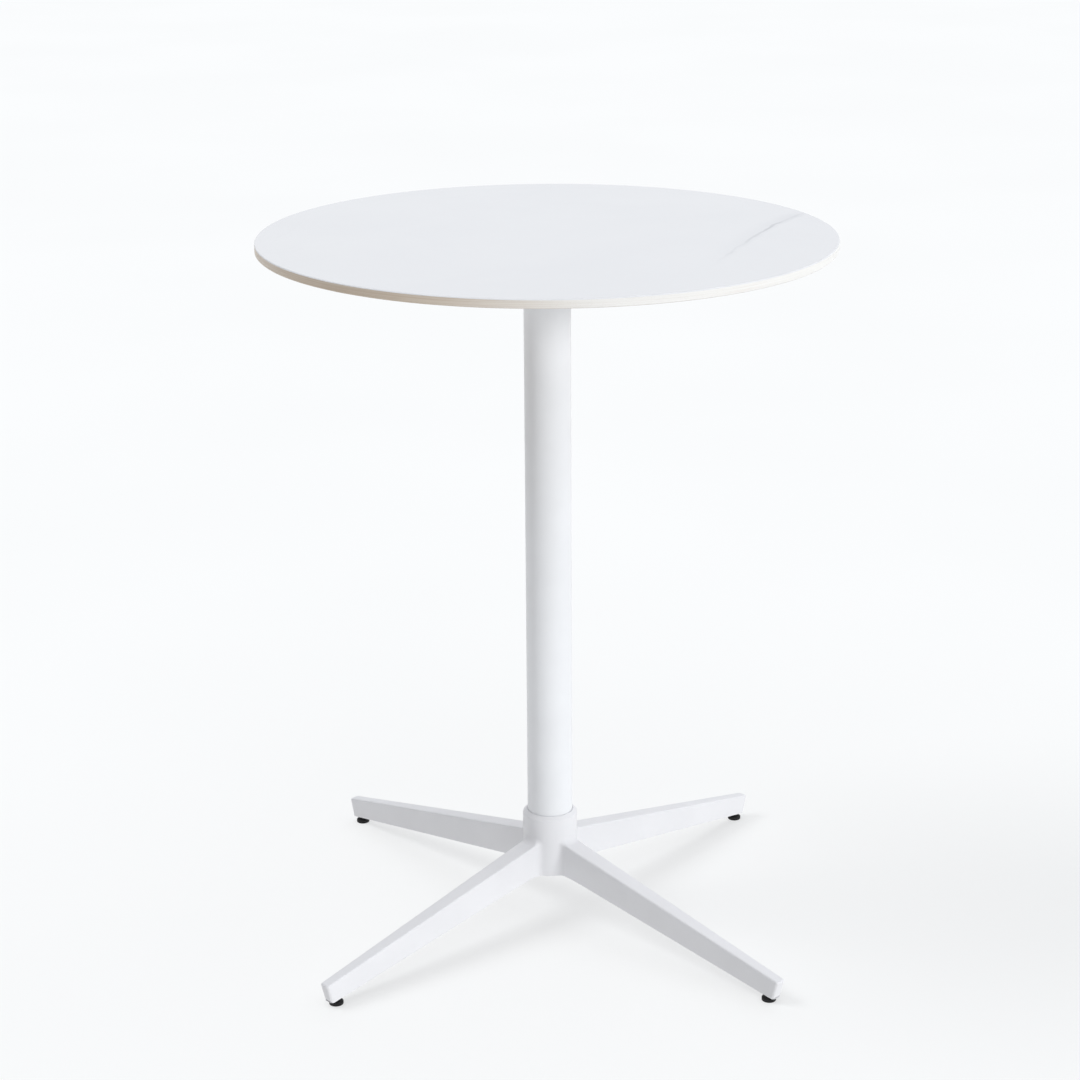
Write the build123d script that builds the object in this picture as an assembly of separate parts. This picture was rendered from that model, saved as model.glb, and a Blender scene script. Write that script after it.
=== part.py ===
from build123d import *
import math
import os

# Round pedestal table: a thin stone top on one tubular column, clamped by a tie rod
# to a cast base with four arms and screw-in levelling glides.
# Millimetres. Origin on the floor under the centre of the column, +Z up.
# The arms point along the diagonals between the X and Y axes.

# ---- driving dimensions: the top -----------------------------------------------------
TABLE_HEIGHT = 1016.0
TOP_DIAMETER = 800.0
SLAB_THICKNESS = 12.0
SLAB_CHAMFER = 1.0
PLATE_SIDE = 280.0
PLATE_THICKNESS = 5.0
PLATE_CORNER_RADIUS = 30.0
PLATE_EDGE_CHAMFER = 1.0
LINER_THICKNESS = 1.0

SCREW_SPACING = 230.0
SCREW_DIAMETER = 6.0
SCREW_LENGTH = 14.0
SCREW_HEAD_DIAMETER = 10.5
SCREW_HEAD_HEIGHT = 3.3
SCREW_KEY_FLATS = 4.0
SCREW_KEY_DEPTH = 2.0
WASHER_DIAMETER = 14.0
WASHER_THICKNESS = 1.2
INSERT_DIAMETER = 10.0
INSERT_LENGTH = 8.0

# ---- driving dimensions: the column and its tie rod ----------------------------------
COLUMN_DIAMETER = 66.0
COLUMN_WALL = 1.8
SPIGOT_HEIGHT = 40.0
SPIGOT_WALL = 4.0
SPIGOT_WEB = 8.0
SPIGOT_LEAD_IN = 2.0
ROD_DIAMETER = 12.0
ROD_SPARE_BELOW = 2.0
ROD_SPARE_ABOVE = 4.0
NUT_FLATS = 19.0
NUT_HEIGHT = 10.0
NUT_FACE_DIAMETER = 18.4
NUT_BEVEL = 30.0
ROD_WASHER_DIAMETER = 44.0
ROD_WASHER_THICKNESS = 3.0
SPRING_WASHER_DIAMETER = 20.5
SPRING_WASHER_THICKNESS = 2.5
SPRING_WASHER_SPLIT = 1.2
SPRING_WASHER_LEAN = 25.0

# ---- driving dimensions: the cast base -----------------------------------------------
HUB_DIAMETER = 80.0
HUB_RIM_HEIGHT = 153.0
HUB_CHAMFER = 5.0
HUB_LIP_RADIUS = 2.0
HUB_BOTTOM = 65.0
HUB_WALL = 7.0
HUB_WEB = 8.0
SOCKET_FLOOR = 92.0
SOCKET_MOUTH_CHAMFER = 0.6

ARM_COUNT = 4
ARM_TIP_RADIUS = 446.0
ARM_TIP_SLANT = 8.0
ARM_TOP_AT_AXIS = 123.4
ARM_TOP_SLOPE = 0.1957
ARM_UNDER_AT_AXIS = 73.7
ARM_UNDER_SLOPE = 0.1504
ARM_WIDTH_AT_AXIS = 30.5
ARM_TAPER = 0.0316
ARM_EDGE_RADIUS = 2.5
ARM_TIP_CORNER_RADIUS = 4.5
ARM_TIP_TOE_RADIUS = 4.0
ARM_HUB_FILLET = 11.0
UNDERSIDE_BEND_RADIUS = 250.0
ARM_WALL = 3.5
ARM_ROOF = 4.0
CHANNEL_START = 46.0
CHANNEL_END = 400.0
RIB_RADII = (165.0, 285.0)
RIB_THICKNESS = 3.0
RIB_SETBACK = 6.0

# ---- driving dimensions: the levelling glides ----------------------------------------
GLIDE_RADIUS = 424.0
GLIDE_SEAT = 11.0
GLIDE_INSERT_DIAMETER = 11.0
GLIDE_INSERT_LENGTH = 16.0
STEM_DIAMETER = 8.0
STEM_TOP = 26.0
STEM_HEAD_DIAMETER = 13.0
STEM_HEAD_HEIGHT = 2.4
STEM_FLATS = 6.8
STEM_FLATS_BOTTOM = 6.2
STEM_FLATS_TOP = 9.4
STEM_POCKET_TOP = 31.0
PAD_DIAMETER = 20.0
PAD_HEIGHT = 6.0
PAD_RIM_HEIGHT = 4.4
PAD_NECK_DIAMETER = 13.5
PAD_FLOOR = 1.5
PAD_EDGE_RADIUS = 0.8

# ---- fits and small gaps -------------------------------------------------------------
FIT = 0.05            # radial gap of a thread or a turning fit
SOCKET_GAP = 0.15     # radial gap where the column slides on or in
HOLE_GAP = 0.5        # radial gap of a clearance hole
PAST = 1.0            # how far a cutting solid runs past the face that it cuts
FAR_PAST = 60.0       # the same, where a cut leaves the part altogether
ON_SURFACE = 0.05     # how near a point counts as lying on a face

# ---- heights and radii worked out from the above -------------------------------------
SLAB_UNDERSIDE = TABLE_HEIGHT - SLAB_THICKNESS
PLATE_TOP = SLAB_UNDERSIDE - LINER_THICKNESS
PLATE_UNDERSIDE = PLATE_TOP - PLATE_THICKNESS
SPIGOT_BOTTOM = PLATE_UNDERSIDE - SPIGOT_HEIGHT
LOCKNUT_BOTTOM = SPIGOT_BOTTOM + SPIGOT_WEB
LOCKNUT_TOP = LOCKNUT_BOTTOM + NUT_HEIGHT
WEB_UNDERSIDE = SOCKET_FLOOR - HUB_WEB
WASHER_UNDERSIDE = WEB_UNDERSIDE - ROD_WASHER_THICKNESS
SPRING_UNDERSIDE = WASHER_UNDERSIDE - SPRING_WASHER_THICKNESS
NUT_UNDERSIDE = SPRING_UNDERSIDE - NUT_HEIGHT
HUB_RADIUS = HUB_DIAMETER / 2
COLUMN_RADIUS = COLUMN_DIAMETER / 2
COLUMN_INNER_RADIUS = COLUMN_RADIUS - COLUMN_WALL
ROD_HOLE_RADIUS = ROD_DIAMETER / 2
ARM_ANGLES = [45.0 + 360.0 / ARM_COUNT * i for i in range(ARM_COUNT)]
ARM_NAMES = ["rear_right", "rear_left", "front_left", "front_right"]


# ---- small helpers -------------------------------------------------------------------
def disc(radius, z_low, z_high):
    """A solid round bar between two heights, on the column's axis."""
    bar = Cylinder(radius, z_high - z_low, align=(Align.CENTER, Align.CENTER, Align.MIN))
    return Pos(0, 0, z_low) * bar


def ring(outer, inner, z_low, z_high):
    """A round tube between two heights."""
    return disc(outer, z_low, z_high) - disc(inner, z_low - PAST, z_high + PAST)


def hex_bar(flats, z_low, z_high):
    """A hexagonal bar, measured across its flats."""
    outline = RegularPolygon(flats / 2, 6, major_radius=False)
    return Pos(0, 0, z_low) * extrude(outline, z_high - z_low)


def spun(points):
    """A turned solid from its (radius, height) half outline."""
    return revolve(Plane.XZ * make_face(Polyline(*points, close=True)), Axis.Z)


def hex_nut(z_low, z_high):
    """A hexagon nut with the corners of both faces turned off."""
    corner = NUT_FLATS / math.sqrt(3)
    flat = NUT_FACE_DIAMETER / 2
    drop = (corner - flat) * math.tan(math.radians(NUT_BEVEL))
    turned = spun([(0, z_low), (flat, z_low), (corner, z_low + drop),
                   (corner, z_high - drop), (flat, z_high), (0, z_high)])
    body = hex_bar(NUT_FLATS, z_low, z_high) & turned
    return body - disc(ROD_HOLE_RADIUS, z_low - PAST, z_high + PAST)


def four_screw_places():
    """Where the four screws of the top plate stand."""
    half = SCREW_SPACING / 2
    return [Pos(x, y, 0) for x in (-half, half) for y in (-half, half)]


def at_screws(shape):
    """A group of equal solids, one at each screw of the top plate."""
    return Compound([place * shape for place in four_screw_places()])


def on_arm(shape, angle, radius=0.0):
    """Carry a shape made on the axis out along the arm at this angle."""
    return Rot(0, 0, angle) * Pos(radius, 0, 0) * shape


def save(shape, name):
    """Write one named sub-part."""
    shape.label = name
    export_step(shape, f"parts/{name}.step")


# ---- the top -------------------------------------------------------------------------
def tabletop_slab():
    slab = disc(TOP_DIAMETER / 2, SLAB_UNDERSIDE, TABLE_HEIGHT)
    slab = chamfer(slab.edges().filter_by(GeomType.CIRCLE), SLAB_CHAMFER)
    pocket = disc(INSERT_DIAMETER / 2, SLAB_UNDERSIDE - PAST, SLAB_UNDERSIDE + INSERT_LENGTH)
    for place in four_screw_places():
        slab -= place * pocket
    return slab


def slab_inserts():
    """Threaded sleeves bonded into blind pockets in the slab."""
    return at_screws(ring(INSERT_DIAMETER / 2, SCREW_DIAMETER / 2 + FIT,
                          SLAB_UNDERSIDE, SLAB_UNDERSIDE + INSERT_LENGTH))


def square_sheet(z_low, z_high):
    """A round-cornered square sheet with a clearance hole for each screw."""
    outline = RectangleRounded(PLATE_SIDE, PLATE_SIDE, PLATE_CORNER_RADIUS)
    for place in four_screw_places():
        outline -= place * Circle(SCREW_DIAMETER / 2 + HOLE_GAP)
    return Pos(0, 0, z_low) * extrude(outline, z_high - z_low)


def top_liner():
    """The soft sheet that keeps the stone off the steel."""
    return square_sheet(PLATE_TOP, SLAB_UNDERSIDE)


def top_plate():
    plate = square_sheet(PLATE_UNDERSIDE, PLATE_TOP)
    rim = plate.faces().sort_by(Axis.Z)[0].outer_wire().edges()
    return chamfer(rim, PLATE_EDGE_CHAMFER)


def plate_screws():
    """Button-head screws that hold the plate to the slab's inserts."""
    seat = PLATE_UNDERSIDE - WASHER_THICKNESS
    head_bottom = seat - SCREW_HEAD_HEIGHT
    shank = disc(SCREW_DIAMETER / 2, seat, seat + SCREW_LENGTH)
    shank = chamfer(shank.edges().sort_by(Axis.Z)[-1], SCREW_DIAMETER / 10)
    head = disc(SCREW_HEAD_DIAMETER / 2, head_bottom, seat)
    head = fillet(head.edges().sort_by(Axis.Z)[0], SCREW_HEAD_HEIGHT / 2)
    key = hex_bar(SCREW_KEY_FLATS, head_bottom - PAST, head_bottom + SCREW_KEY_DEPTH)
    return at_screws(shank + head - key)


def plate_washers():
    return at_screws(ring(WASHER_DIAMETER / 2, SCREW_DIAMETER / 2 + HOLE_GAP / 2,
                          PLATE_UNDERSIDE - WASHER_THICKNESS, PLATE_UNDERSIDE))


# ---- the column and its tie rod ------------------------------------------------------
def column_tube():
    return ring(COLUMN_RADIUS, COLUMN_INNER_RADIUS, SOCKET_FLOOR, PLATE_UNDERSIDE)


def column_spigot():
    """The cup under the plate that centres the tube and takes the rod's thread."""
    outer = COLUMN_INNER_RADIUS - SOCKET_GAP
    inner = outer - SPIGOT_WALL
    return spun([(ROD_HOLE_RADIUS, SPIGOT_BOTTOM), (outer - SPIGOT_LEAD_IN, SPIGOT_BOTTOM),
                 (outer, SPIGOT_BOTTOM + SPIGOT_LEAD_IN), (outer, PLATE_UNDERSIDE),
                 (inner, PLATE_UNDERSIDE), (inner, LOCKNUT_BOTTOM),
                 (ROD_HOLE_RADIUS, LOCKNUT_BOTTOM)])


def tie_rod():
    rod = disc(ROD_HOLE_RADIUS - FIT, NUT_UNDERSIDE - ROD_SPARE_BELOW,
               LOCKNUT_TOP + ROD_SPARE_ABOVE)
    return chamfer(rod.edges().filter_by(GeomType.CIRCLE), ROD_DIAMETER / 12)


def rod_washer():
    return ring(ROD_WASHER_DIAMETER / 2, ROD_HOLE_RADIUS + HOLE_GAP / 2,
                WASHER_UNDERSIDE, WEB_UNDERSIDE)


def spring_washer():
    """A split spring washer, pressed flat."""
    gap = Box(SPRING_WASHER_DIAMETER, SPRING_WASHER_SPLIT, 4 * SPRING_WASHER_THICKNESS)
    gap = Pos(SPRING_WASHER_DIAMETER / 2, 0, SPRING_UNDERSIDE) * Rot(SPRING_WASHER_LEAN, 0, 0) * gap
    return ring(SPRING_WASHER_DIAMETER / 2, ROD_HOLE_RADIUS + HOLE_GAP / 2,
                SPRING_UNDERSIDE, WASHER_UNDERSIDE) - gap


# ---- the cast base -------------------------------------------------------------------
def arm_top(radius):
    return ARM_TOP_AT_AXIS - ARM_TOP_SLOPE * radius


def arm_under(radius):
    return ARM_UNDER_AT_AXIS - ARM_UNDER_SLOPE * radius


def arm_width(radius):
    return ARM_WIDTH_AT_AXIS - ARM_TAPER * radius


def upright_plane(radius):
    """A plane across an arm that runs along +X."""
    return Plane(origin=(radius, 0, 0), x_dir=(0, 1, 0), z_dir=(1, 0, 0))


def arm_blank():
    """One arm along +X with sharp edges, still too long and too deep."""
    sections = []
    for radius in (HUB_RADIUS / 2, ARM_TIP_RADIUS + FAR_PAST):
        low = arm_under(radius) - FAR_PAST
        outline = Pos(0, low) * Rectangle(arm_width(radius), arm_top(radius) - low,
                                          align=(Align.CENTER, Align.MIN))
        sections.append(upright_plane(radius) * outline)
    return loft(sections, ruled=True)


def tip_line():
    """The slanted end seen from the side: its top corner, its toe and its lean."""
    top = arm_top(ARM_TIP_RADIUS)
    lean = ARM_TIP_SLANT / (top - arm_under(ARM_TIP_RADIUS))
    toe_x = (ARM_TIP_RADIUS - lean * (top - ARM_UNDER_AT_AXIS)) / (1 + lean * ARM_UNDER_SLOPE)
    return (ARM_TIP_RADIUS, top), (toe_x, arm_under(toe_x)), lean


def arm_with_tip():
    """The arm cut off at a slant, its top reaching further out than its foot, with its
    outer corners and its upper edges rounded."""
    (tip_x, top), _, lean = tip_line()
    past = 2 * FAR_PAST
    cut = Polyline((tip_x + past * lean, top + past), (tip_x - past * lean, top - past),
                   (tip_x + past, top - past), (tip_x + past, top + past), close=True)
    arm = arm_blank() - extrude(Plane.XZ * make_face(cut), ARM_WIDTH_AT_AXIS, both=True)
    end_face = arm.faces().sort_by(Axis.X)[-1]
    arm = fillet(end_face.edges().sort_by(Axis.Z)[1:3], ARM_TIP_CORNER_RADIUS)
    top_face = arm.faces().sort_by(Axis.Z)[-1]
    rim = [edge for edge in top_face.edges() if edge.center().X > HUB_RADIUS]
    return fillet(rim, ARM_EDGE_RADIUS)


def toe_cutter():
    """What the rounding of the arm's lower outer corner takes away."""
    tip, toe, _ = tip_line()
    inner = tip[0] - FAR_PAST
    sharp = make_face(Polyline((inner, tip[1]), tip, toe, (inner, arm_under(inner)), close=True))
    corner = sharp.vertices().sort_by_distance((toe[0], toe[1], 0))[0]
    rounded = fillet(corner, ARM_TIP_TOE_RADIUS)
    return extrude(Plane.XZ * (sharp - rounded), ARM_WIDTH_AT_AXIS, both=True)


def below_base():
    """The space under the base: flat under the hub, then bending gently down the arms."""
    bend = (ARM_UNDER_AT_AXIS - HUB_BOTTOM) / ARM_UNDER_SLOPE
    outer = ARM_TIP_RADIUS + FAR_PAST
    depth = -2 * FAR_PAST
    outline = make_face(Polyline((0, depth), (0, HUB_BOTTOM), (bend, HUB_BOTTOM),
                                 (outer, arm_under(outer)), (outer, depth), close=True))
    corner = outline.vertices().sort_by_distance((bend, HUB_BOTTOM, 0))[0]
    return revolve(Plane.XZ * fillet(corner, UNDERSIDE_BEND_RADIUS), Axis.Z)


def lies_on_hub(edge):
    """True for the edges where an arm runs into the hub's wall."""
    points = [edge.position_at(t / 4) for t in range(5)]
    on_wall = all(abs(math.hypot(p.X, p.Y) - HUB_RADIUS) < ON_SURFACE for p in points)
    heights = [p.Z for p in points]
    return on_wall and edge.geom_type != GeomType.CIRCLE and max(heights) < HUB_RIM_HEIGHT


def base_outside():
    """Hub and arms as one outer form, with soft fillets where they meet."""
    hub_top = HUB_RIM_HEIGHT + HUB_CHAMFER
    body = disc(HUB_RADIUS, HUB_BOTTOM - ARM_HUB_FILLET, hub_top)
    arm = arm_with_tip()
    for angle in ARM_ANGLES:
        body += on_arm(arm, angle)
    body = fillet(body.edges().filter_by(lies_on_hub), ARM_HUB_FILLET)
    body -= below_base()
    toe = toe_cutter()
    for angle in ARM_ANGLES:
        body -= on_arm(toe, angle)
    rim = body.edges().filter_by(GeomType.CIRCLE).sort_by(Axis.Z)[-1]
    body = chamfer(rim, HUB_CHAMFER)
    lip = [edge for edge in body.edges().filter_by(GeomType.CIRCLE)
           if abs(edge.center().Z - HUB_RIM_HEIGHT) < ON_SURFACE]
    return fillet(lip, HUB_LIP_RADIUS)


def arm_channel():
    """The hollow under one arm, open below."""
    sections = []
    for radius in (CHANNEL_START, CHANNEL_END):
        outline = Rectangle(arm_width(radius) - 2 * ARM_WALL, arm_top(radius) - ARM_ROOF,
                            align=(Align.CENTER, Align.MIN))
        sections.append(upright_plane(radius) * outline)
    channel = loft(sections, ruled=True)
    for radius in RIB_RADII:
        channel -= arm_rib(radius)
    return channel


def arm_rib(radius):
    """A cross rib left standing in the hollow, set back from the arm's lower edge."""
    low = arm_under(radius) + RIB_SETBACK
    rib = Box(RIB_THICKNESS, ARM_WIDTH_AT_AXIS, ARM_TOP_AT_AXIS,
              align=(Align.CENTER, Align.CENTER, Align.MIN))
    return Pos(radius, 0, low) * rib


def glide_pocket():
    """The hole for a glide's insert, with room above it for the stem's end."""
    insert_top = GLIDE_SEAT + GLIDE_INSERT_LENGTH
    return (disc(GLIDE_INSERT_DIAMETER / 2, -PAST, insert_top)
            + disc(STEM_DIAMETER / 2 + HOLE_GAP, insert_top - PAST, STEM_POCKET_TOP))


def base_casting():
    body = base_outside()
    hub_top = HUB_RIM_HEIGHT + HUB_CHAMFER
    socket = COLUMN_RADIUS + SOCKET_GAP
    body -= spun([(0, SOCKET_FLOOR), (socket, SOCKET_FLOOR),
                  (socket, hub_top - SOCKET_MOUTH_CHAMFER),
                  (socket + 2 * SOCKET_MOUTH_CHAMFER, hub_top + SOCKET_MOUTH_CHAMFER),
                  (0, hub_top + SOCKET_MOUTH_CHAMFER)])
    body -= disc(ROD_HOLE_RADIUS + HOLE_GAP, HUB_BOTTOM, hub_top)
    body -= disc(HUB_RADIUS - HUB_WALL, HUB_BOTTOM - PAST, WEB_UNDERSIDE)
    channel = arm_channel()
    pocket = glide_pocket()
    for angle in ARM_ANGLES:
        body -= on_arm(channel, angle)
        body -= on_arm(pocket, angle, GLIDE_RADIUS)
    return body


# ---- the levelling glides ------------------------------------------------------------
def glide_inserts():
    """Threaded steel bushes pressed into the arm tips."""
    bush = ring(GLIDE_INSERT_DIAMETER / 2, STEM_DIAMETER / 2 + FIT,
                GLIDE_SEAT, GLIDE_SEAT + GLIDE_INSERT_LENGTH)
    return Compound([on_arm(bush, angle, GLIDE_RADIUS) for angle in ARM_ANGLES])


def glide_stem():
    """The threaded stem: a round head captive in the pad, and two flats for a spanner."""
    head_bottom = PAD_FLOOR + FIT
    head = disc(STEM_HEAD_DIAMETER / 2, head_bottom, head_bottom + STEM_HEAD_HEIGHT)
    shank = disc(STEM_DIAMETER / 2, head_bottom, STEM_TOP)
    shank = chamfer(shank.edges().sort_by(Axis.Z)[-1], STEM_DIAMETER / 10)
    flats_height = STEM_FLATS_TOP - STEM_FLATS_BOTTOM
    side = Box(STEM_DIAMETER, STEM_DIAMETER, flats_height,
               align=(Align.MIN, Align.CENTER, Align.MIN))
    for turn in (0, 180):
        shank -= Rot(0, 0, turn) * Pos(STEM_FLATS / 2, 0, STEM_FLATS_BOTTOM) * side
    return head + shank


def glide_pad():
    """The moulded pad, closed over the stem's head so that the stem can turn in it."""
    head_room = STEM_HEAD_DIAMETER / 2 + 4 * FIT
    neck_room = STEM_DIAMETER / 2 + 4 * FIT
    lip_under = PAD_FLOOR + STEM_HEAD_HEIGHT + 2 * FIT
    pad = spun([(0, 0), (PAD_DIAMETER / 2, 0), (PAD_DIAMETER / 2, PAD_RIM_HEIGHT),
                (PAD_NECK_DIAMETER / 2, PAD_HEIGHT), (neck_room, PAD_HEIGHT),
                (neck_room, lip_under), (head_room, lip_under), (head_room, PAD_FLOOR),
                (0, PAD_FLOOR)])
    outside = [edge for edge in pad.edges().filter_by(GeomType.CIRCLE)
               if edge.radius > PAD_DIAMETER / 2 - ON_SURFACE]
    return fillet(outside, PAD_EDGE_RADIUS)


# ---- everything, written out ---------------------------------------------------------
def build_all():
    os.makedirs("parts", exist_ok=True)
    for make in (tabletop_slab, slab_inserts, top_liner, top_plate, plate_screws,
                 plate_washers, column_tube, column_spigot, tie_rod, rod_washer,
                 spring_washer, base_casting, glide_inserts):
        save(make(), make.__name__)
    save(hex_nut(LOCKNUT_BOTTOM, LOCKNUT_TOP), "rod_locknut")
    save(hex_nut(NUT_UNDERSIDE, SPRING_UNDERSIDE), "rod_nut")
    for name, angle in zip(ARM_NAMES, ARM_ANGLES):
        save(on_arm(glide_stem(), angle, GLIDE_RADIUS), f"glide_stem_{name}")
        save(on_arm(glide_pad(), angle, GLIDE_RADIUS), f"glide_pad_{name}")


build_all()
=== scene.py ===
import math

import bmesh
import bpy
from mathutils import Matrix, Vector


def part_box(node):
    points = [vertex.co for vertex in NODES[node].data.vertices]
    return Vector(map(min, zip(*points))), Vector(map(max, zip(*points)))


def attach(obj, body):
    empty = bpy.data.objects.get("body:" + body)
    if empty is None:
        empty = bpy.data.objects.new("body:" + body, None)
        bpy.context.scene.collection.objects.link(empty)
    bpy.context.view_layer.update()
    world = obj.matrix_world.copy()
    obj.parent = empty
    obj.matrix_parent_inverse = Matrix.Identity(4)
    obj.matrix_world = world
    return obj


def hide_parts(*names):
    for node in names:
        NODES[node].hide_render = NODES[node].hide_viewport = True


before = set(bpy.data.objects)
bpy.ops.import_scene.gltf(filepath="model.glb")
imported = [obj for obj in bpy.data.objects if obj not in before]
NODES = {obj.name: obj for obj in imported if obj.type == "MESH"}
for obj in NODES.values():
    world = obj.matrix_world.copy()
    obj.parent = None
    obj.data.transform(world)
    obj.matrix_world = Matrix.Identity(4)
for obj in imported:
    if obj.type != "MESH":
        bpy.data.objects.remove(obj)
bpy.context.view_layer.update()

MM = 0.001
TAU = 2 * math.pi
ARMS = ("rear_right", "rear_left", "front_left", "front_right")


# ---- camera, floor and light -----------------------------------------------------------
# the camera's place in metres, its lens in millimetres on a 36 mm sensor
CAMERA_PLACE = (-0.0249, -3.3573, 1.6825)
CAMERA_LENS = 82.453
CAMERA_SENSOR = 36.0
CAMERA_PITCH = math.radians(18.255)
CAMERA_YAW = math.radians(0.217)
CAMERA_ROLL = math.radians(-0.381)
CAMERA_CLIP = (0.05, 200.0)
FLOOR_RADIUS = 60.0
FLOOR_SEGMENTS = 96
FLOOR_GLOW = 0.54
SUN_DISTANCE = 5.0
KEY_SHARE = 0.47
FILL_SHARE = 0.34
WALL_LEFT = (0.10, 0.085, 0.075, 1)
WALL_RIGHT = (0.26, 0.28, 0.30, 1)
WALL_BACK = (0.94, 0.95, 0.98, 1)
CEILING = (1.20, 1.23, 1.27, 1)
BACKDROP = (0.94, 0.95, 0.975, 1)
# axis of the direction looked in, where the change to the next colour starts and ends
WORLD_STEPS = (("X", -0.9, 0.7, WALL_RIGHT), ("Y", 0.45, 0.85, WALL_BACK),
               ("Z", 0.35, 0.80, CEILING))


def make_camera():
    """The camera, pitched down, with a little yaw and roll."""
    data = bpy.data.cameras.new("camera")
    data.sensor_width = CAMERA_SENSOR
    data.lens = CAMERA_LENS
    data.clip_start, data.clip_end = CAMERA_CLIP
    camera = bpy.data.objects.new("camera", data)
    bpy.context.scene.collection.objects.link(camera)
    turn = (Matrix.Rotation(-CAMERA_YAW, 4, "Z")
            @ Matrix.Rotation(math.pi / 2 - CAMERA_PITCH, 4, "X")
            @ Matrix.Rotation(CAMERA_ROLL, 4, "Z"))
    camera.matrix_world = Matrix.Translation(CAMERA_PLACE) @ turn
    bpy.context.scene.camera = camera


def sun_light(name, azimuth, elevation, spread, share):
    """A far, soft light, with its angles in degrees. share is the light it gives a facing
    surface, against a white surround of strength 1. Azimuth 0 is the camera's side, + to
    its right."""
    data = bpy.data.lights.new(name, "SUN")
    data.angle = math.radians(spread)
    data.energy = share * math.pi
    a, e = math.radians(azimuth), math.radians(elevation)
    back = Vector((math.sin(a) * math.cos(e), -math.cos(a) * math.cos(e), math.sin(e)))
    light = bpy.data.objects.new(name, data)
    bpy.context.scene.collection.objects.link(light)
    light.matrix_world = (Matrix.Translation(back * SUN_DISTANCE)
                          @ (-back).to_track_quat("-Z", "Y").to_matrix().to_4x4())
    return light


def falls_on(light, thing, state):
    """Let a light fall only on one thing ("INCLUDE"), or on everything but it ("EXCLUDE")."""
    group = bpy.data.collections.new(f"{light.name}_receivers")
    group.objects.link(thing)
    group.collection_objects[0].light_linking.link_state = state
    light.light_linking.receiver_collection = group


def make_world():
    """Soft light from a studio with a dim, warm left side and a pale back wall and ceiling.
    What is seen directly or mirrored is one plain pale backdrop."""
    world = bpy.data.worlds.new("studio")
    world.use_nodes = True
    bpy.context.scene.world = world
    tree = world.node_tree
    coords = tree.nodes.new("ShaderNodeTexCoord")
    split = tree.nodes.new("ShaderNodeSeparateXYZ")
    tree.links.new(coords.outputs["Generated"], split.inputs["Vector"])
    colour = WALL_LEFT
    for axis, low, high, wall in WORLD_STEPS:
        span = tree.nodes.new("ShaderNodeMapRange")
        span.interpolation_type = "SMOOTHSTEP"
        span.inputs["From Min"].default_value = low
        span.inputs["From Max"].default_value = high
        tree.links.new(split.outputs[axis], span.inputs["Value"])
        colour = colour_blend(tree, span.outputs["Result"], colour, wall)
    rays = tree.nodes.new("ShaderNodeLightPath")
    seen = tree.nodes.new("ShaderNodeMath")
    seen.operation = "MAXIMUM"
    tree.links.new(rays.outputs["Is Camera Ray"], seen.inputs[0])
    tree.links.new(rays.outputs["Is Glossy Ray"], seen.inputs[1])
    colour = colour_blend(tree, seen.outputs["Value"], colour, BACKDROP)
    tree.links.new(colour, tree.nodes["Background"].inputs["Color"])


def make_lights(floor):
    """The key lights the table and passes the floor by; the fill only draws soft shadows."""
    key = sun_light("key", azimuth=50, elevation=16, spread=14, share=KEY_SHARE)
    key.visible_glossy = False
    falls_on(key, floor, "EXCLUDE")
    fill = sun_light("fill", azimuth=-93, elevation=49, spread=28, share=FILL_SHARE)
    falls_on(fill, floor, "INCLUDE")
    bpy.context.scene.view_settings.view_transform = "Standard"
    bpy.context.scene.view_settings.look = "None"


# ---- shader building ---------------------------------------------------------------------
def colour_blend(tree, factor, first, second):
    """A mix of two colours. Each value is a number, a colour or a node's output."""
    node = tree.nodes.new("ShaderNodeMix")
    node.data_type = "RGBA"
    sockets = [socket for socket in node.inputs if socket.enabled]
    for socket, value in zip(sockets, (factor, first, second)):
        feed(tree, socket, value)
    return [socket for socket in node.outputs if socket.enabled][0]


def feed(tree, socket, value):
    """Link a node's output to a socket, or set the socket to a plain value."""
    if isinstance(value, bpy.types.NodeSocket):
        tree.links.new(value, socket)
    else:
        socket.default_value = value


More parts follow.
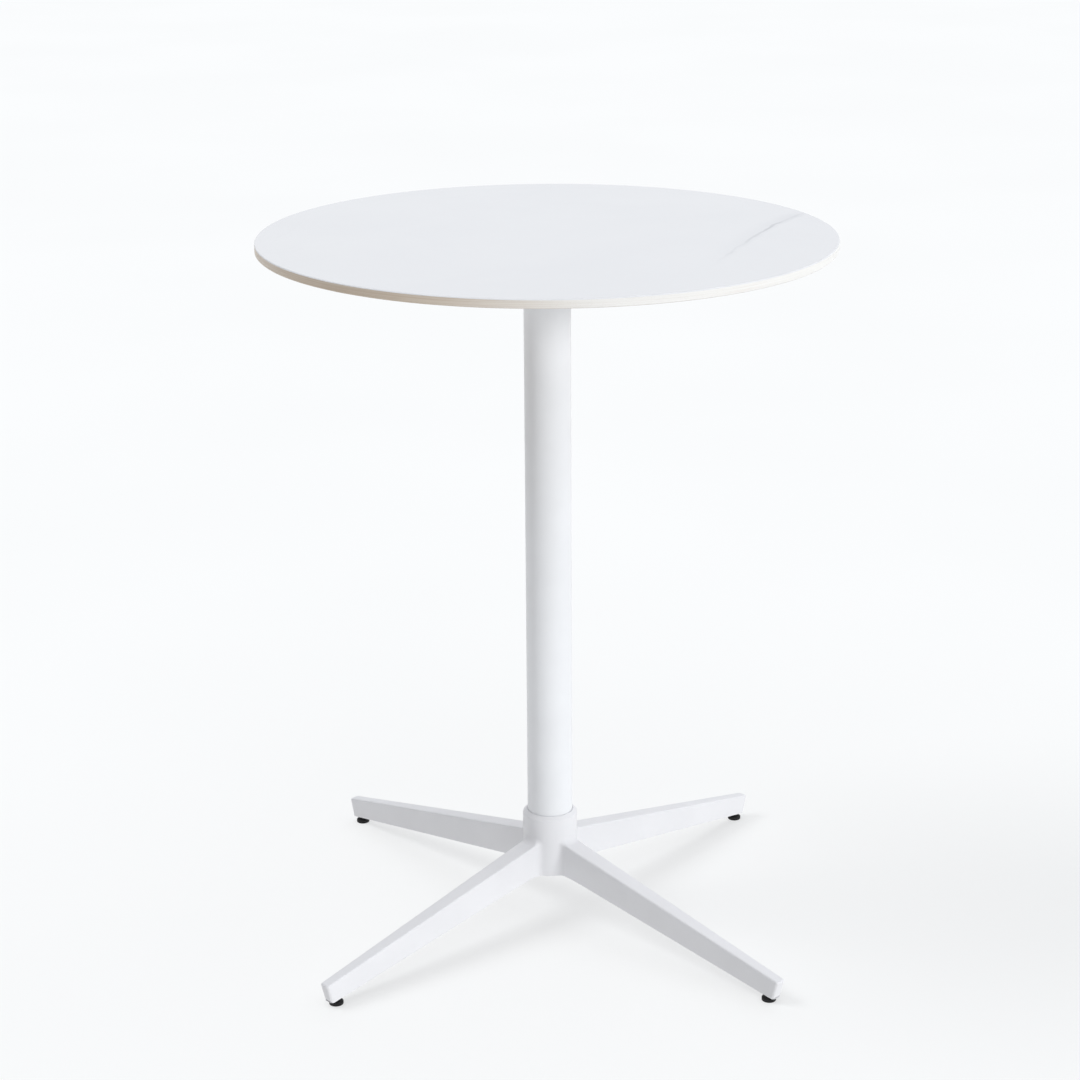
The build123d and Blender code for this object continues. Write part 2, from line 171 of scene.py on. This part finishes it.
class Surface:
    """One procedural material, with short ways to add nodes to it. Noise scales are in
    periods per metre."""

    def __init__(self, name, roughness=0.5, metallic=0.0):
        self.material = bpy.data.materials.new(name)
        self.material.use_nodes = True
        self.tree = self.material.node_tree
        self.shader = self.tree.nodes["Principled BSDF"]
        self.shader.inputs["Roughness"].default_value = roughness
        self.shader.inputs["Metallic"].default_value = metallic
        self.coords = self.tree.nodes.new("ShaderNodeTexCoord").outputs["Object"]

    def drive(self, name, value):
        """Set or link one of the shader's own sockets."""
        feed(self.tree, self.shader.inputs[name], value)

    def stretched(self, scale):
        """The object's coordinates, scaled by axis."""
        node = self.tree.nodes.new("ShaderNodeMapping")
        self.tree.links.new(self.coords, node.inputs["Vector"])
        node.inputs["Scale"].default_value = scale
        return node.outputs["Vector"]

    def noise(self, scale, detail, vector=None, distortion=0.0):
        node = self.tree.nodes.new("ShaderNodeTexNoise")
        self.tree.links.new(vector or self.coords, node.inputs["Vector"])
        node.inputs["Scale"].default_value = scale
        node.inputs["Detail"].default_value = detail
        node.inputs["Distortion"].default_value = distortion
        return node.outputs["Fac"]

    def cells(self, scale):
        """Rounded cells, as in foam or a moulded grain."""
        node = self.tree.nodes.new("ShaderNodeTexVoronoi")
        self.tree.links.new(self.coords, node.inputs["Vector"])
        node.inputs["Scale"].default_value = scale
        return node.outputs["Distance"]

    def axes(self):
        node = self.tree.nodes.new("ShaderNodeSeparateXYZ")
        self.tree.links.new(self.coords, node.inputs["Vector"])
        return node.outputs["X"], node.outputs["Y"], node.outputs["Z"]

    def math(self, operation, first, second=0.0):
        node = self.tree.nodes.new("ShaderNodeMath")
        node.operation = operation
        for socket, value in zip(node.inputs, (first, second)):
            feed(self.tree, socket, value)
        return node.outputs["Value"]

    def times(self, first, second):
        return self.math("MULTIPLY", first, second)

    def span(self, value, low, high, to_low=0.0, to_high=1.0):
        """value carried smoothly from one range to another, held at its ends."""
        node = self.tree.nodes.new("ShaderNodeMapRange")
        node.interpolation_type = "SMOOTHSTEP"
        names = ("Value", "From Min", "From Max", "To Min", "To Max")
        for name, item in zip(names, (value, low, high, to_low, to_high)):
            feed(self.tree, node.inputs[name], item)
        return node.outputs["Result"]

    def patches(self, scale, detail, low, high, to_low=0.0, to_high=1.0):
        """Soft random patches: noise between low and high, carried to another range."""
        return self.span(self.noise(scale, detail), low, high, to_low, to_high)

    def mix(self, factor, first, second):
        return colour_blend(self.tree, factor, first, second)

    def bump(self, height, distance, normal=None):
        """Relief of a height given in metres, on top of an earlier bump's normal if any."""
        node = self.tree.nodes.new("ShaderNodeBump")
        node.inputs["Distance"].default_value = distance
        node.inputs["Strength"].default_value = 1.0
        self.tree.links.new(height, node.inputs["Height"])
        if normal is not None:
            self.tree.links.new(normal, node.inputs["Normal"])
        self.tree.links.new(node.outputs["Normal"], self.shader.inputs["Normal"])
        return node.outputs["Normal"]


# ---- materials ------------------------------------------------------------------------------
GLAZE_GREY = (0.715, 0.72, 0.738, 1)
GLAZE_PALE = (0.733, 0.738, 0.752, 1)
GLAZE_WARM = (0.728, 0.727, 0.734, 1)
VEIN_GREY = (0.44, 0.445, 0.47, 1)
VEIN_HALO = (0.56, 0.57, 0.60, 1)
# the vein's line in metres is x = VEIN_X + VEIN_LEAN y + VEIN_BEND y^2, and it goes on
# straight where y is under VEIN_STRAIGHT
VEIN_X = 0.2905
VEIN_LEAN = 0.43
VEIN_BEND = 0.55
VEIN_STRAIGHT = -0.06
VEIN_END_LEAN = VEIN_LEAN + 2 * VEIN_BEND * VEIN_STRAIGHT
VEIN_WOBBLE = 0.013
VEIN_HALF_WIDTH = 0.0042
VEIN_DARKEST_Y = 0.055
HALO_INNER = 0.035
HALO_OUTER = 0.012
HALO_EDGE = 0.004


def vein_offset(s, x, y):
    """How far a point lies to the right of the vein's wandering line, in metres."""
    bent = s.math("MAXIMUM", y, VEIN_STRAIGHT)
    curve = s.times(s.math("ADD", s.times(bent, VEIN_BEND), VEIN_LEAN), bent)
    line = s.math("ADD", curve, s.times(s.math("SUBTRACT", y, bent), VEIN_END_LEAN))
    wobble = s.times(s.math("SUBTRACT", s.noise(28, 4), 0.5), VEIN_WOBBLE)
    return s.math("ADD", s.math("SUBTRACT", s.math("SUBTRACT", x, VEIN_X), line), wobble)


def marble_glaze():
    """Printed and glazed face of the slab: pale grey clouds, hair veins and one grey vein."""
    s = Surface("marble_glaze")
    x, y, _ = s.axes()
    clouds = s.span(s.noise(3.2, 6, distortion=0.8), 0.35, 0.68)
    colour = s.mix(clouds, GLAZE_GREY, GLAZE_PALE)
    colour = s.mix(s.patches(1.7, 3, 0.5, 0.7, 0.0, 0.5), colour, GLAZE_WARM)
    ridge = s.math("ABSOLUTE", s.math("SUBTRACT", s.noise(2.1, 7, distortion=1.6), 0.5))
    hair = s.times(s.span(ridge, 0.0, 0.008, 0.06, 0.0), s.patches(4.0, 2, 0.45, 0.65))
    colour = s.mix(hair, colour, VEIN_HALO)

    off = vein_offset(s, x, y)
    core = s.span(s.math("ABSOLUTE", off), 0.0004, VEIN_HALF_WIDTH, 1.0, 0.0)
    ends = s.times(s.span(y, -0.24, -0.02), s.span(y, 0.165, 0.12))
    body = s.times(s.times(core, ends), s.patches(17, 3, 0.34, 0.62, 0.35, 1.0))
    from_darkest = s.math("ABSOLUTE", s.math("SUBTRACT", y, VEIN_DARKEST_Y))
    strength = s.times(body, s.span(from_darkest, 0.015, 0.06, 0.95, 0.5))
    colour = s.mix(strength, colour, VEIN_GREY)

    halo = s.times(s.times(s.span(off, -HALO_INNER, HALO_EDGE),
                           s.span(off, HALO_EDGE, HALO_OUTER, 1.0, 0.0)), ends)
    colour = s.mix(s.times(halo, s.span(y, 0.0, 0.12, 0.22, 0.42)), colour, VEIN_HALO)
    s.drive("Base Color", colour)
    s.drive("Roughness", s.patches(9, 5, 0.3, 0.75, 0.05, 0.13))
    s.bump(s.noise(140, 3), 0.002 * MM)
    return s.material


# edge colours across x: the tan pair is painted shade for the dim warm left side, the white pair
# painted light from the key at the right
BODY_SHADED_TAN = (0.50, 0.405, 0.31, 1)
BODY_SHADED_TAN_PALE = (0.58, 0.50, 0.41, 1)
BODY_LIT_WHITE = (0.79, 0.78, 0.755, 1)
BODY_LIT_WHITE_PALE = (0.82, 0.81, 0.79, 1)
BODY_PINK = (0.62, 0.52, 0.47, 1)
BODY_SPECK = (0.50, 0.42, 0.34, 1)
# painted shade: the dark brown put on the underside and on the foot of the lower chamfer
BODY_UNDERSIDE_SHADE = (0.36, 0.29, 0.225, 1)


def stone_body():
    """The slab's fired body, with its polished edge and its rough underside. The edge is painted tan at
    the left and near white at the right over the body's beige:
    painted shade from a dim warm left side and painted light from the key. The underside and the foot
    of the lower chamfer are painted darker brown as shade."""
    s = Surface("stone_body")
    x, _, z = s.axes()
    # painted shade and light: 0 at the left, where the edge is painted tan as shade, 1 at the right,
    # where it is painted near white as light
    side = s.span(x, -0.19, 0.10)
    streak = s.noise(1.0, 5, vector=s.stretched((9, 9, 1100)))
    colour = s.mix(s.span(streak, 0.42, 0.62), s.mix(side, BODY_SHADED_TAN, BODY_LIT_WHITE),
                   s.mix(side, BODY_SHADED_TAN_PALE, BODY_LIT_WHITE_PALE))
    pink = s.noise(1.0, 3, vector=s.stretched((5, 5, 620)))
    colour = s.mix(s.span(pink, 0.56, 0.72, 0.0, 0.30), colour, BODY_PINK)
    colour = s.mix(s.patches(1900, 1, 0.62, 0.74, 0.0, 0.35), colour, BODY_SPECK)
    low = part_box("tabletop_slab")[0].z
    # painted shade: darker towards the bottom over the lowest 0.7 mm, on the lower chamfer's foot and
    # the underside
    painted_shade_below = s.span(z, low + 0.1 * MM, low + 0.7 * MM, 0.8, 0.0)
    s.drive("Base Color", s.mix(painted_shade_below, colour, BODY_UNDERSIDE_SHADE))
    s.drive("Roughness", s.span(z, low, low + 0.3 * MM, 0.75, 0.33))
    s.bump(s.noise(900, 4), 0.02 * MM)
    return s.material


def powder_coat(name, tone, peel=0.02, wave=0.0, grime=0.03):
    """White powder coat: fine orange peel, a slow waviness and a little uneven gloss. peel
    and wave are in millimetres, and grime is how much darker the darkest patches are."""
    s = Surface(name)
    darker = tuple(c * (1 - grime) for c in tone[:3]) + (1.0,)
    s.drive("Base Color", s.mix(s.patches(14, 5, 0.35, 0.7), darker, tone))
    s.drive("Roughness", s.patches(35, 4, 0.3, 0.7, 0.36, 0.46))
    soft = s.bump(s.noise(900, 3), peel * MM)
    if wave:
        s.bump(s.noise(45, 3), wave * MM, soft)
    return s.material


def bare_metal(name, tone, dull, rough=(0.26, 0.42), grain=(260, 260, 260)):
    """Plated or plain metal: cloudy tone, uneven gloss and fine marks along its grain."""
    s = Surface(name, metallic=1.0)
    lines = s.noise(1.0, 4, vector=s.stretched(grain))
    s.drive("Base Color", s.mix(s.patches(90, 5, 0.3, 0.7), dull, tone))
    s.drive("Roughness", s.span(lines, 0.25, 0.75, *rough))
    s.bump(lines, 0.012 * MM)
    return s.material


def soft_foam():
    """The dark cellular foam between plate and slab."""
    s = Surface("liner_foam", roughness=0.9)
    s.drive("Base Color", s.mix(s.patches(500, 3, 0.35, 0.65),
                                (0.028, 0.028, 0.03, 1), (0.06, 0.06, 0.065, 1)))
    s.bump(s.cells(1400), 0.12 * MM)
    return s.material


def stem_finish():
    """Black-oxide steel, rubbed a little brighter on the crests of its thread."""
    s = Surface("stem_black", metallic=0.85)
    x, y, _ = s.axes()
    radius = s.math("SQRT", s.math("ADD", s.times(x, x), s.times(y, y)))
    crests = s.span(radius, STEM_RADIUS - 0.15 * MM, STEM_RADIUS)
    rubbed = s.times(crests, s.patches(700, 3, 0.4, 0.6))
    s.drive("Base Color", s.mix(rubbed, (0.022, 0.022, 0.024, 1), (0.17, 0.17, 0.175, 1)))
    s.drive("Roughness", s.patches(600, 4, 0.3, 0.7, 0.34, 0.52))
    s.bump(s.noise(2500, 3), 0.01 * MM)
    return s.material


def pad_plastic():
    """Black nylon with a fine moulded grain."""
    s = Surface("pad_black")
    s.drive("Base Color", s.mix(s.patches(160, 4, 0.3, 0.7),
                                (0.005, 0.005, 0.0055, 1), (0.012, 0.012, 0.013, 1)))
    s.drive("Roughness", s.patches(420, 3, 0.3, 0.7, 0.50, 0.66))
    s.drive("Specular IOR Level", 0.3)
    s.bump(s.cells(2600), 0.03 * MM)
    return s.material


def studio_floor():
    """A pale matt floor, lit from within, that is only seen from above."""
    s = Surface("studio_floor", roughness=1.0)
    s.drive("Base Color", s.mix(s.patches(0.8, 2, 0.3, 0.7),
                                (0.355, 0.36, 0.36, 1), (0.365, 0.37, 0.37, 1)))
    s.drive("Specular IOR Level", 0.0)
    s.drive("Emission Color", (1, 1, 1, 1))
    s.drive("Emission Strength", FLOOR_GLOW)
    clear = s.tree.nodes.new("ShaderNodeBsdfTransparent")
    choose = s.tree.nodes.new("ShaderNodeMixShader")
    side = s.tree.nodes.new("ShaderNodeNewGeometry")
    output = s.tree.nodes["Material Output"]
    s.tree.links.new(side.outputs["Backfacing"], choose.inputs[0])
    s.tree.links.new(s.shader.outputs["BSDF"], choose.inputs[1])
    s.tree.links.new(clear.outputs["BSDF"], choose.inputs[2])
    s.tree.links.new(choose.outputs["Shader"], output.inputs["Surface"])
    return s.material


# ---- mesh building ----------------------------------------------------------------------------
SHARP_ANGLE = 32.0
SLAB_SHARP_ANGLE = 15.0
THREAD_SHARP_ANGLE = 40.0
MERGE_DISTANCE = 1e-7


def new_object(name, mesh, material, place=(0, 0, 0)):
    """A scene object of one mesh and one material."""
    thing = bpy.data.objects.new(name, mesh)
    thing.location = place
    bpy.context.scene.collection.objects.link(thing)
    mesh.materials.clear()
    mesh.materials.append(material)
    return thing


def smooth_by_angle(mesh, degrees=SHARP_ANGLE):
    """Smooth shading that keeps the edges sharper than this angle."""
    mesh.shade_smooth()
    built = bmesh.new()
    built.from_mesh(mesh)
    for edge in built.edges:
        edge.smooth = edge.calc_face_angle(0.0) < math.radians(degrees)
    built.to_mesh(mesh)
    built.free()


def mesh_from(name, points, faces):
    """A mesh whose meeting points are merged and whose faces point outwards."""
    mesh = bpy.data.meshes.new(name)
    mesh.from_pydata(points, [], faces)
    mesh.validate()
    built = bmesh.new()
    built.from_mesh(mesh)
    bmesh.ops.remove_doubles(built, verts=built.verts, dist=MERGE_DISTANCE)
    bmesh.ops.recalc_face_normals(built, faces=built.faces)
    built.to_mesh(mesh)
    built.free()
    return mesh


def arc(centre, radius, start, stop, steps):
    """Points of an arc in a (radius, height) outline, angles in degrees."""
    turns = [math.radians(start + (stop - start) * i / steps) for i in range(steps + 1)]
    return [(centre[0] + radius * math.cos(t), centre[1] + radius * math.sin(t)) for t in turns]


def spun(name, outline, segments):
    """A closed turned solid from its closed (radius, height) outline."""
    points, faces = [], []
    count = len(outline)
    for i in range(segments):
        turn = TAU * i / segments
        points += [(r * math.cos(turn), r * math.sin(turn), z) for r, z in outline]
    for i in range(segments):
        here, there = i * count, (i + 1) % segments * count
        for j in range(count):
            k = (j + 1) % count
            faces.append((here + j, there + j, there + k, here + k))
    return mesh_from(name, points, faces)


def lofted(name, rows, segments):
    """A closed bar from rows of (height, radius), where a radius may depend on the turn."""
    points, faces = [], []
    for height, radius in rows:
        for i in range(segments):
            turn = TAU * i / segments
            r = radius(turn, height) if callable(radius) else radius
            points.append((r * math.cos(turn), r * math.sin(turn), height))
    for j in range(len(rows) - 1):
        for i in range(segments):
            k = (i + 1) % segments
            low, high = j * segments, (j + 1) * segments
            faces.append((low + i, low + k, high + k, high + i))
    return mesh_from(name, points, faces)


ROOT_SHARE = 0.12     # how much of a thread's pitch is its flat root
FLANK_SHARE = 0.72    # and how much is its two flanks; the rest is the flat crest
ROWS_PER_TURN = 8


def thread(crest, depth, pitch, low, high, run_out):
    """The radius of a right-hand thread between two heights, fading out over run_out."""
    def radius(turn, height):
        phase = (height / pitch - turn / TAU) % 1.0
        rise = abs(2 * phase - 1)
        flank = min(1.0, max(0.0, (rise - ROOT_SHARE) / FLANK_SHARE))
        fade = min(1.0, max(0.0, min(height - low, high - height) / run_out))
        return crest - depth * (1 - flank) * fade
    return radius


def thread_rows(cut, pitch, low, high):
    """Rows for lofted along a threaded stretch."""
    count = round((high - low) / pitch * ROWS_PER_TURN)
    return [(low + (high - low) * i / count, cut) for i in range(count + 1)]


def with_holes(solid, cutters):
    """solid with the given meshes cut out of it."""
    cut = bpy.data.meshes.new("cutters")
    joined = bmesh.new()
    for mesh in cutters:
        joined.from_mesh(mesh)
    joined.to_mesh(cut)
    joined.free()
    body = bpy.data.objects.new("body", solid)
    tool = bpy.data.objects.new("tool", cut)
    for thing in (body, tool):
        bpy.context.scene.collection.objects.link(thing)
    step = body.modifiers.new("cut", "BOOLEAN")
    step.operation, step.solver, step.object = "DIFFERENCE", "EXACT", tool
    result = bpy.data.meshes.new_from_object(
        body.evaluated_get(bpy.context.evaluated_depsgraph_get()))
    for thing in (body, tool):
        bpy.data.objects.remove(thing)
    return result


# ---- the slab ---------------------------------------------------------------------------------
SLAB_SEGMENTS = 384
SLAB_CHAMFER = 1.0 * MM
GLAZE_THICKNESS = 1.3 * MM
EDGE_EASE = 0.12 * MM
POCKET_RADIUS = 5.0 * MM
POCKET_DEPTH = 8.0 * MM
POCKET_SEGMENTS = 48


def slab_pieces(glaze_material, body_material):
    """The glazed face with the upper chamfer, and the body with its four blind pockets."""
    low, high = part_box("tabletop_slab")
    radius = min(-low.x, high.x, -low.y, high.y)
    skin = high.z - GLAZE_THICKNESS
    shoulder, foot = high.z - SLAB_CHAMFER, low.z + SLAB_CHAMFER
    inside, ease = radius - SLAB_CHAMFER, EDGE_EASE
    glaze = spun("slab_glaze", [
        (0, skin), (radius, skin), (radius, shoulder - ease),
        (radius - ease / 2, shoulder + ease / 2), (inside + ease / 2, high.z - ease / 2),
        (inside - ease, high.z), (0, high.z)], SLAB_SEGMENTS)
    body = spun("slab_body", [
        (0, low.z), (inside - ease, low.z), (inside + ease / 2, low.z + ease / 2),
        (radius - ease / 2, foot - ease / 2), (radius, foot + ease),
        (radius, skin), (0, skin)], SLAB_SEGMENTS)
    insert_low, insert_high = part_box("slab_inserts")
    spot = insert_high.x - POCKET_RADIUS
    cutters = []
    for x in (-spot, spot):
        for y in (-spot, spot):
            pocket = spun("pocket", [(0, low.z - MM), (POCKET_RADIUS, low.z - MM),
                                     (POCKET_RADIUS, low.z + POCKET_DEPTH),
                                     (0, low.z + POCKET_DEPTH)], POCKET_SEGMENTS)
            pocket.transform(Matrix.Translation((x, y, 0)))
            cutters.append(pocket)
    body = with_holes(body, cutters)
    top = new_object("slab_glaze", glaze, glaze_material)
    core = new_object("slab_body", body, body_material)
    for piece in (top, core):
        smooth_by_angle(piece.data, SLAB_SHARP_ANGLE)
        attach(piece, "table")
        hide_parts("tabletop_slab")


# ---- the column and the tie rod ------------------------------------------------------------------
COLUMN_SEGMENTS = 144
COLUMN_WALL = 1.8 * MM
COLUMN_EASE = 0.3 * MM
ROD_SEGMENTS = 48
ROD_PITCH = 1.75 * MM
ROD_THREAD_DEPTH = 1.0 * MM
ROD_THREAD_LENGTH = 45.0 * MM
ROD_END_CHAMFER = 1.0 * MM


def column_piece(material):
    """The column's tube with eased outer edges."""
    low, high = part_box("column_tube")
    outer = max(high.x, high.y)
    inner = outer - COLUMN_WALL
    mesh = spun("column", [
        (inner, low.z), (outer - COLUMN_EASE, low.z), (outer, low.z + COLUMN_EASE),
        (outer, high.z - COLUMN_EASE), (outer - COLUMN_EASE, high.z), (inner, high.z)],
        COLUMN_SEGMENTS)
    smooth_by_angle(mesh)
    column = new_object("column", mesh, material)
    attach(column, "table")
    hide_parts("column_tube")


def tie_rod_piece(material):
    """The tie rod with a thread at each end."""
    low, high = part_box("tie_rod")
    radius = max(high.x, high.y)
    root = radius - ROD_THREAD_DEPTH
    bottom, top = low.z + ROD_END_CHAMFER, high.z - ROD_END_CHAMFER
    rows = [(low.z, 0), (low.z, root)]
    for start, stop in ((bottom, bottom + ROD_THREAD_LENGTH), (top - ROD_THREAD_LENGTH, top)):
        cut = thread(radius, ROD_THREAD_DEPTH, ROD_PITCH, start - ROD_PITCH, stop + ROD_PITCH,
                     ROD_PITCH)
        rows += thread_rows(cut, ROD_PITCH, start, stop)
    rows += [(high.z, root), (high.z, 0)]
    mesh = lofted("tie_rod_threaded", rows, ROD_SEGMENTS)
    smooth_by_angle(mesh, THREAD_SHARP_ANGLE)
    rod = new_object("tie_rod_threaded", mesh, material)
    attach(rod, "table")
    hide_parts("tie_rod")


# ---- the glides ------------------------------------------------------------------------------------
STEM_RADIUS = 4.0 * MM
STEM_PITCH = 1.25 * MM
STEM_THREAD_DEPTH = 0.72 * MM
STEM_END_CHAMFER = 0.8 * MM
STEM_HEAD_HEIGHT = 2.4 * MM
STEM_HEAD_EASE = 0.35 * MM
STEM_RUN_OUT = 0.8 * STEM_PITCH
STEM_SEGMENTS = 72
EASE_STEPS = 4
FLATS_WIDTH = 6.8 * MM
FLATS_BOTTOM = 6.2 * MM
FLATS_TOP = 9.4 * MM
FLATS_RAMP = 0.25 * MM
LEAST_COSINE = 0.01


def flat_sided(turn, _):
    """The stem's outline where two flats are cut for a spanner."""
    steepness = max(abs(math.cos(turn)), LEAST_COSINE)
    return min(STEM_RADIUS, FLATS_WIDTH / 2 / steepness)


def stem_piece(arm, material):
    """One glide's stem: a round head in the pad, spanner flats and a thread."""
    node = f"glide_stem_{arm}"
    low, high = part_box(node)
    centre = (low + high) / 2
    head, ease = (high.x - low.x) / 2, STEM_HEAD_EASE
    head_top = low.z + STEM_HEAD_HEIGHT
    start, stop = FLATS_TOP + FLATS_RAMP, high.z - STEM_END_CHAMFER
    cut = thread(STEM_RADIUS, STEM_THREAD_DEPTH, STEM_PITCH, start, high.z + STEM_PITCH,
                 STEM_RUN_OUT)
    rows = [(low.z, 0)]
    for centre_radius, height, first, last in (
            (head - ease, low.z + ease, -90, 0), (head - ease, head_top - ease, 0, 90),
            (STEM_RADIUS + ease, head_top + ease, 270, 180)):
        bend = arc((centre_radius, height), ease, first, last, EASE_STEPS)
        rows += [(z, r) for r, z in bend]
    rows += [(FLATS_BOTTOM, STEM_RADIUS), (FLATS_BOTTOM, flat_sided),
             (FLATS_TOP, flat_sided), (start, STEM_RADIUS)]
    rows += thread_rows(cut, STEM_PITCH, start, stop)
    rows += [(high.z, STEM_RADIUS - STEM_END_CHAMFER), (high.z, 0)]
    mesh = lofted(f"stem_{arm}", rows, STEM_SEGMENTS)
    smooth_by_angle(mesh, THREAD_SHARP_ANGLE)
    stem = new_object(f"stem_{arm}", mesh, material, (centre.x, centre.y, 0))
    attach(stem, f"stem_{arm}")
    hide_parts(node)


# ---- everything --------------------------------------------------------------------------------------
def dress_cad_nodes(stem_material, pad_material):
    """Materials for the CAD nodes that stay, and new pieces for column, rod and stems."""
    white_tube = powder_coat("powder_tube", (0.80, 0.81, 0.83, 1))
    white_cast = powder_coat("powder_cast", (0.765, 0.765, 0.785, 1), 0.03, 0.12)
    white_plate = powder_coat("powder_plate", (0.78, 0.79, 0.81, 1), 0.025)
    zinc = bare_metal("zinc_steel", (0.62, 0.64, 0.67, 1), (0.47, 0.49, 0.53, 1))
    steel = bare_metal("plain_steel", (0.48, 0.48, 0.49, 1), (0.36, 0.36, 0.38, 1),
                       (0.32, 0.5), (60, 60, 1500))
    brass = bare_metal("brass_sleeve", (0.72, 0.53, 0.25, 1), (0.55, 0.40, 0.19, 1))
    foam = soft_foam()
    looks = {"slab_inserts": brass, "top_liner": foam, "top_plate": white_plate,
             "plate_screws": zinc, "plate_washers": zinc, "column_spigot": steel,
             "rod_locknut": zinc, "rod_nut": zinc, "rod_washer": zinc, "spring_washer": steel,
             "base_casting": white_cast, "glide_inserts": zinc}
    for arm in ARMS:
        looks[f"glide_pad_{arm}"] = pad_material
    for node, material in looks.items():
        NODES[node].data.materials.clear()
        NODES[node].data.materials.append(material)
    column_piece(white_tube)
    tie_rod_piece(zinc)
    for arm in ARMS:
        stem_piece(arm, stem_material)


def make_floor():
    """A wide round floor under the pads."""
    built = bmesh.new()
    bmesh.ops.create_circle(built, cap_ends=True, segments=FLOOR_SEGMENTS,
                             radius=FLOOR_RADIUS)
    mesh = bpy.data.meshes.new("floor")
    built.to_mesh(mesh)
    built.free()
    floor = new_object("floor", mesh, studio_floor())
    return floor


make_camera()
make_world()
make_lights(make_floor())
slab_pieces(marble_glaze(), stone_body())
dress_cad_nodes(stem_finish(), pad_plastic())
